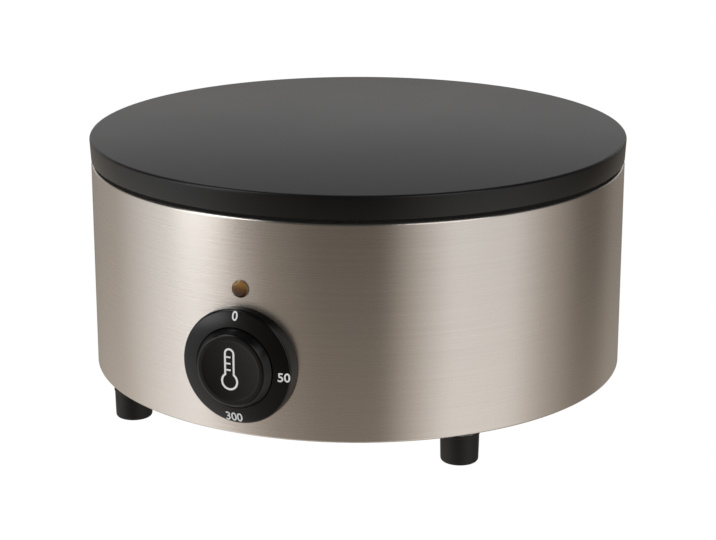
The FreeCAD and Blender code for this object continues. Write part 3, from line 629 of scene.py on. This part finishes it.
def make_repeat_tree():
    """Geometry nodes that copy a cell along a step and round a turn."""
    tree = bpy.data.node_groups.new("repeat_cell", "GeometryNodeTree")
    for name, kind in REPEAT_INPUTS:
        tree.interface.new_socket(name, in_out="INPUT", socket_type="NodeSocket" + kind)
    tree.interface.new_socket("Pieces", in_out="OUTPUT", socket_type="NodeSocketGeometry")
    start = tree.nodes.new("NodeGroupInput")
    line = tree.nodes.new("GeometryNodeMeshLine")
    index = tree.nodes.new("GeometryNodeInputIndex")
    turned = tree.nodes.new("ShaderNodeMath")
    turned.operation = "MULTIPLY"
    spin = tree.nodes.new("ShaderNodeCombineXYZ")
    copies = tree.nodes.new("GeometryNodeInstanceOnPoints")
    real = tree.nodes.new("GeometryNodeRealizeInstances")
    painted = tree.nodes.new("GeometryNodeSetMaterial")
    end = tree.nodes.new("NodeGroupOutput")
    for source, target in (
        (start.outputs["Count"], line.inputs["Count"]),
        (start.outputs["Step"], line.inputs["Offset"]),
        (index.outputs[0], turned.inputs[0]),
        (start.outputs["Turn"], turned.inputs[1]),
        (turned.outputs[0], spin.inputs["Z"]),
        (line.outputs[0], copies.inputs["Points"]),
        (start.outputs["Cell"], copies.inputs["Instance"]),
        (spin.outputs[0], copies.inputs["Rotation"]),
        (copies.outputs[0], real.inputs[0]),
        (real.outputs[0], painted.inputs["Geometry"]),
        (start.outputs["Finish"], painted.inputs["Material"]),
        (painted.outputs[0], end.inputs["Pieces"]),
    ):
        tree.links.new(source, target)
    return tree


REPEAT_TREE = make_repeat_tree()


def repeat(cell, count, step, turn, finish):
    """Plain mesh of a cell's copies, each moved by the step and turned about Z."""
    mesh = bpy.data.meshes.new("cell")
    cell.to_mesh(mesh)
    cell.free()
    holder = bpy.data.objects.new("cell", mesh)
    bpy.context.scene.collection.objects.link(holder)
    modifier = holder.modifiers.new("repeat", "NODES")
    modifier.node_group = REPEAT_TREE
    values = {"Count": count, "Step": step, "Turn": turn, "Finish": finish}
    for item in REPEAT_TREE.interface.items_tree:
        if item.in_out == "INPUT" and item.name in values:
            modifier[item.identifier] = values[item.name]
    bpy.context.view_layer.update()
    made = bpy.data.meshes.new_from_object(holder.evaluated_get(bpy.context.evaluated_depsgraph_get()))
    holder.modifiers.remove(modifier)
    bpy.data.objects.remove(holder)
    return made


def add_mesh(data, mesh, place):
    """Add a plain mesh, put in its place, to a mesh being built."""
    mesh.transform(place)
    data.from_mesh(mesh)


def make_gland():
    """Gland cap with a domed nose and grip ribs."""
    back = Matrix.Translation((0, DRUM_RADIUS, GLAND_LEVEL)) @ Matrix.Rotation(-math.pi / 2, 4, "X")
    low = gland_low.y - DRUM_RADIUS
    high = gland_high.y - DRUM_RADIUS
    body = GLAND_RADIUS - 0.5 * MM
    data = bmesh.new()
    add_turned(data, [
        (GLAND_BORE, low, 0),
        (body, low, 0),
        (body, high, GLAND_NOSE_ROUND),
        (GLAND_BORE, high, 0.6 * MM),
    ], back, 96, True)
    rib = bmesh.new()
    bmesh.ops.create_cube(rib, size=1.0)
    bmesh.ops.scale(rib, vec=GLAND_RIB_SIZE, verts=rib.verts)
    bmesh.ops.bevel(rib, geom=rib.edges[:], offset=0.2 * MM, segments=2, affect="EDGES")
    bmesh.ops.translate(rib, vec=(body, 0, low + GLAND_RIB_LEVEL), verts=rib.verts)
    ribs = repeat(rib, GLAND_RIBS, (0, 0, 0), 2 * math.pi / GLAND_RIBS, FINISHES["black_plastic"])
    add_mesh(data, ribs, back)
    grip = add_object("gland_grip", data, FINISHES["black_plastic"], "cooker")
    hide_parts("gland_cap")


def make_tie_rods():
    """Three tie studs, round, with threads on the tails under the base cover."""
    data = bmesh.new()
    for angle in STUD_ANGLES:
        turn = math.radians(angle)
        place = Matrix.Translation((STUD_CIRCLE * math.cos(turn), STUD_CIRCLE * math.sin(turn), 0))
        top = stud_low.z + THREAD_PITCH * (THREAD_COUNT + 1)
        add_turned(data, [
            (0, stud_low.z, 0),
            (STUD_CORE, stud_low.z, 0.3 * MM),
            (STUD_CORE, top, 0),
            (STUD_RADIUS, top, 0.3 * MM),
            (STUD_RADIUS, stud_high.z, 0.3 * MM),
            (0, stud_high.z, 0),
        ], place, 48, False)
        thread = bmesh.new()
        add_turned(thread, [
            (STUD_CORE - 0.1 * MM, stud_low.z + 0.5 * THREAD_PITCH, 0),
            (STUD_RADIUS, stud_low.z + THREAD_PITCH, 0),
            (STUD_CORE - 0.1 * MM, stud_low.z + 1.5 * THREAD_PITCH, 0),
        ], Matrix.Identity(4), 48, True)
        add_mesh(data, repeat(thread, THREAD_COUNT, (0, 0, THREAD_PITCH), 0.0, FINISHES["bright_steel"]), place)
    rods = add_object("tie_rods", data, FINISHES["bright_steel"], "cooker")
    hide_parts("tie_studs")


def cut_away(solid, cutter):
    """Plain mesh of a bmesh solid less the mesh of a cutter."""
    mesh = bpy.data.meshes.new("solid")
    solid.to_mesh(mesh)
    solid.free()
    blank, tool = (bpy.data.objects.new(item.name, item) for item in (mesh, cutter))
    for item in (blank, tool):
        bpy.context.scene.collection.objects.link(item)
    cut = blank.modifiers.new("cut", "BOOLEAN")
    cut.object = tool
    cut.solver = "EXACT"
    cut.use_self = True
    bpy.context.view_layer.update()
    made = bpy.data.meshes.new_from_object(blank.evaluated_get(bpy.context.evaluated_depsgraph_get()))
    blank.modifiers.remove(cut)
    bpy.data.objects.remove(blank)
    bpy.data.objects.remove(tool)
    return made


def make_terminal_screws():
    """Round-headed cross-slotted screws that hold the terminal block from below."""
    data = bmesh.new()
    for side in (-1, 1):
        centre = Vector((side * TERMINAL_SCREW_OFFSET, (screws_low.y + screws_high.y) / 2, 0))
        head = bmesh.new()
        add_turned(head, [
            (0, screws_low.z, 0),
            (SCREW_HEAD_RADIUS, screws_low.z, SCREW_HEAD_ROUND),
            (SCREW_HEAD_RADIUS, base_low.z, 0),
            (SCREW_RADIUS, base_low.z, 0),
            (SCREW_RADIUS, screws_high.z, 0.2 * MM),
            (0, screws_high.z, 0),
        ], Matrix.Translation(centre), 64, False)
        slot = bmesh.new()
        bmesh.ops.create_cube(slot, size=1.0)
        bmesh.ops.scale(slot, vec=SLOT_SIZE, verts=slot.verts)
        cross = repeat(slot, 2, (0, 0, 0), math.pi / 2, FINISHES["bright_steel"])
        cross.transform(Matrix.Translation((centre.x, centre.y, screws_low.z)))
        data.from_mesh(cut_away(head, cross))
    screws = add_object("cross_slot_screws", data, FINISHES["bright_steel"], "cooker")
    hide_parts("terminal_screws")


def bezel_depth(radius):
    """Depth of the bezel's cone off the drum at a radius from the dial's axis."""
    share = (radius - BEZEL_BORE) / (BEZEL_RADIUS - BEZEL_BORE)
    return BEZEL_DEPTH + (BEZEL_EDGE_TOP - BEZEL_DEPTH) * share


def knob_depth(radius):
    """Depth of the knob's face off the drum, the same at each radius that the print covers."""
    return KNOB_DEPTH - KNOB_DISH


def flat_text(text, height):
    """Mesh of a text, centred, with its capitals of the given height."""
    curve = bpy.data.curves.new("figure", "FONT")
    curve.body = text
    curve.align_x = "CENTER"
    curve.align_y = "CENTER"
    curve.size = height / CAPITAL_SHARE
    curve.offset = STROKE_GROWTH
    made = bpy.data.objects.new("figure", curve)
    bpy.context.scene.collection.objects.link(made)
    bpy.context.view_layer.update()
    mesh = bpy.data.meshes.new_from_object(made.evaluated_get(bpy.context.evaluated_depsgraph_get()))
    bpy.data.objects.remove(made)
    return mesh


def lay_print(name, data, surface, place, body):
    """Thin printed figure: a flat mesh in the dial's plane, lifted on the surface and given a thickness."""
    bmesh.ops.remove_doubles(data, verts=data.verts, dist=1e-6)
    bmesh.ops.subdivide_edges(data, edges=data.edges, cuts=1)
    result = bmesh.ops.extrude_face_region(data, geom=data.faces[:])
    raised = {item for item in result["geom"] if isinstance(item, bmesh.types.BMVert)}
    for vertex in data.verts:
        lift = PRINT_LIFT if vertex in raised else -HAIR
        vertex.co.z = surface(Vector((vertex.co.x, vertex.co.y)).length) + lift
    bmesh.ops.recalc_face_normals(data, faces=data.faces)
    data.transform(place)
    made = add_object(name, data, PRINT_WHITE, body, smooth=False)


def make_numbers():
    """Numbers on the bezel, upright, each at its own angle clockwise from the top."""
    for label, angle in LABELS:
        data = bmesh.new()
        data.from_mesh(flat_text(label, LABEL_HEIGHT))
        turn = math.radians(angle)
        centre = Vector((LABEL_RADIUS * math.sin(turn), LABEL_RADIUS * math.cos(turn), 0))
        bmesh.ops.translate(data, vec=centre, verts=data.verts)
        lay_print("number_" + label, data, bezel_depth, DIAL_FRONT, "cooker")


def ring_shape(outline, inner):
    """Flat mesh between two closed outlines of as many points."""
    data = bmesh.new()
    outside = [data.verts.new((x, y, 0)) for x, y in outline]
    inside = [data.verts.new((x, y, 0)) for x, y in inner]
    count = len(outside)
    for index in range(count):
        after = (index + 1) % count
        data.faces.new((outside[index], outside[after], inside[after], inside[index]))
    return data


def thermometer_outline(tube, bulb):
    """Closed outline of a thermometer: round bulb at the bottom, tube with a round end above it."""
    neck = math.asin(tube / bulb)
    points = []
    for step in range(41):
        angle = math.pi / 2 + neck + (2 * math.pi - 2 * neck) * step / 40
        points.append((THERMOMETER_SHIFT + bulb * math.cos(angle), THERMOMETER_LOW + bulb * math.sin(angle)))
    for step in range(21):
        angle = math.pi * step / 20
        points.append((THERMOMETER_SHIFT + tube * math.cos(angle), THERMOMETER_HIGH + tube * math.sin(angle)))
    return points


def make_thermometer():
    """White thermometer on the knob: its outline and three marks."""
    outline = ring_shape(thermometer_outline(*THERMOMETER_OUTSIDE), thermometer_outline(*THERMOMETER_INSIDE))
    lay_print("thermometer_line", outline, knob_depth, DIAL_FRONT, "control_knob")
    for index in range(MARK_COUNT):
        data = bmesh.new()
        level = MARK_TOP - MARK_STEP * index
        data.faces.new([data.verts.new((THERMOMETER_SHIFT + x * MM, level + y * MM, 0)) for x, y in MARK_CORNERS])
        lay_print(f"thermometer_mark_{index + 1}", data, knob_depth, DIAL_FRONT, "control_knob")


def make_stage():
    """Pale floor that shows white to the camera, keeps a trace of shadow, and is clear from below."""
    data = bmesh.new()
    bmesh.ops.create_circle(data, cap_ends=True, segments=96, radius=FLOOR_RADIUS)
    mesh = bpy.data.meshes.new("floor")
    data.to_mesh(mesh)
    data.free()
    floor = bpy.data.objects.new("floor", mesh)
    bpy.context.scene.collection.objects.link(floor)
    made = bpy.data.materials.new("floor_white")
    made.use_nodes = True
    book = Book(made.node_tree)
    card = book.add("ShaderNodeBsdfDiffuse", {}, {"Color": grey(0.82)})
    camera = book.add("ShaderNodeLightPath")
    glow = book.add("ShaderNodeEmission", {}, {"Color": grey(1.0), "Strength": WHITE_LEVEL})
    mixed = book.add("ShaderNodeMixShader", {}, {0: camera * FLOOR_WHITENESS, 1: card, 2: glow})
    below = book.add("ShaderNodeNewGeometry", output=6)
    clear = book.add("ShaderNodeBsdfTransparent")
    faced = book.add("ShaderNodeMixShader", {}, {0: below, 1: mixed, 2: clear})
    book.add("ShaderNodeOutputMaterial", {}, {"Surface": faced})
    mesh.materials.append(made)
    floor.location.z = -HAIR
    floor.visible_glossy = False


def make_camera():
    azimuth = math.radians(CAMERA_AZIMUTH)
    rise = math.radians(CAMERA_RISE)
    data = bpy.data.cameras.new("camera")
    data.sensor_width = SENSOR
    data.sensor_fit = "HORIZONTAL"
    data.lens = FOCAL_PIXELS / FRAME_WIDTH * SENSOR
    camera = bpy.data.objects.new("camera", data)
    flat = CAMERA_DISTANCE * math.cos(rise)
    level = PLATE_TOP + CAMERA_DISTANCE * math.sin(rise)
    camera.location = (math.sin(azimuth) * flat, -math.cos(azimuth) * flat, level)
    camera.rotation_euler = (math.radians(90 - CAMERA_PITCH), 0, azimuth)
    bpy.context.scene.collection.objects.link(camera)
    bpy.context.scene.camera = camera


def warm(level):
    """Colour of the surround at a level: the darker, the warmer."""
    shade = max(0.0, 1.0 - level)
    return (level, level * (1.0 - 0.15 * shade), level * (1.0 - 0.31 * shade))


def make_world():
    """White surround; bright and dark upright bands that polished metal mirrors, as in a studio."""
    world = bpy.data.worlds.new("studio")
    world.use_nodes = True
    bpy.context.scene.world = world
    book = Book(world.node_tree)
    x, y, height = book.parts(book.add("ShaderNodeTexCoord", output=0))
    angle = x.maths("ARCTAN2", y * -1.0)
    share = ((angle - math.radians(CAMERA_AZIMUTH)) / (2 * math.pi) + 1.5).maths("FRACT")
    bands = book.ramp(share, [(place, warm(level)) for place, level in BANDS])

    def window(value, stops):
        return book.ramp(value, [(place, grey(level)) for place, level in stops])

    floor = window(height * -1.0, FLOOR_DEPTH)
    bands = book.add("ShaderNodeMix", {"data_type": "RGBA", "blend_type": "ADD"},
                     {0: floor, 6: bands, 7: (*warm(FLOOR_LEVEL), 1)}, output=2)
    bands = book.between(window(height, CEILING_HEIGHT), bands, grey(CEILING_LEVEL))
    backdrop = window(share, BACKDROP_SHARE) * window(height, BACKDROP_HEIGHT)
    mirrored = book.between(backdrop, bands, window(height, BACKDROP_FADE))
    softbox = window(share, SOFTBOX_SHARE) * window(height, SOFTBOX_HEIGHT)
    mirrored = book.between(softbox, mirrored, grey(SOFTBOX_LEVEL))
    path = book.add("ShaderNodeLightPath")
    glossy = Shade(book, path.socket.node.outputs["Is Glossy Ray"])
    camera = Shade(book, path.socket.node.outputs["Is Camera Ray"])
    plain = book.between(camera, grey(SURROUND_LEVEL), grey(WHITE_LEVEL))
    colour = book.between(glossy, plain, mirrored)
    shader = book.add("ShaderNodeBackground", {}, {"Color": colour, "Strength": 1.0})
    book.add("ShaderNodeOutputWorld", {}, {"Surface": shader})


def make_lamp(name, place, size, power):
    data = bpy.data.lights.new(name, "AREA")
    data.shape = "DISK"
    data.size = size
    data.energy = power
    lamp = bpy.data.objects.new(name, data)
    lamp.location = place
    lamp.rotation_euler = (LAMP_AIM - Vector(place)).to_track_quat("-Z", "Y").to_euler()
    bpy.context.scene.collection.objects.link(lamp)


make_plate()
make_drum()
make_bezel()
make_knob()
make_feet()
make_lens()
make_base()
make_gland()
make_tie_rods()
make_terminal_screws()
make_numbers()
make_thermometer()
make_stage()
make_camera()
make_world()
for lamp in LAMPS:
    make_lamp(*lamp)
bpy.context.scene.view_settings.view_transform = "Standard"
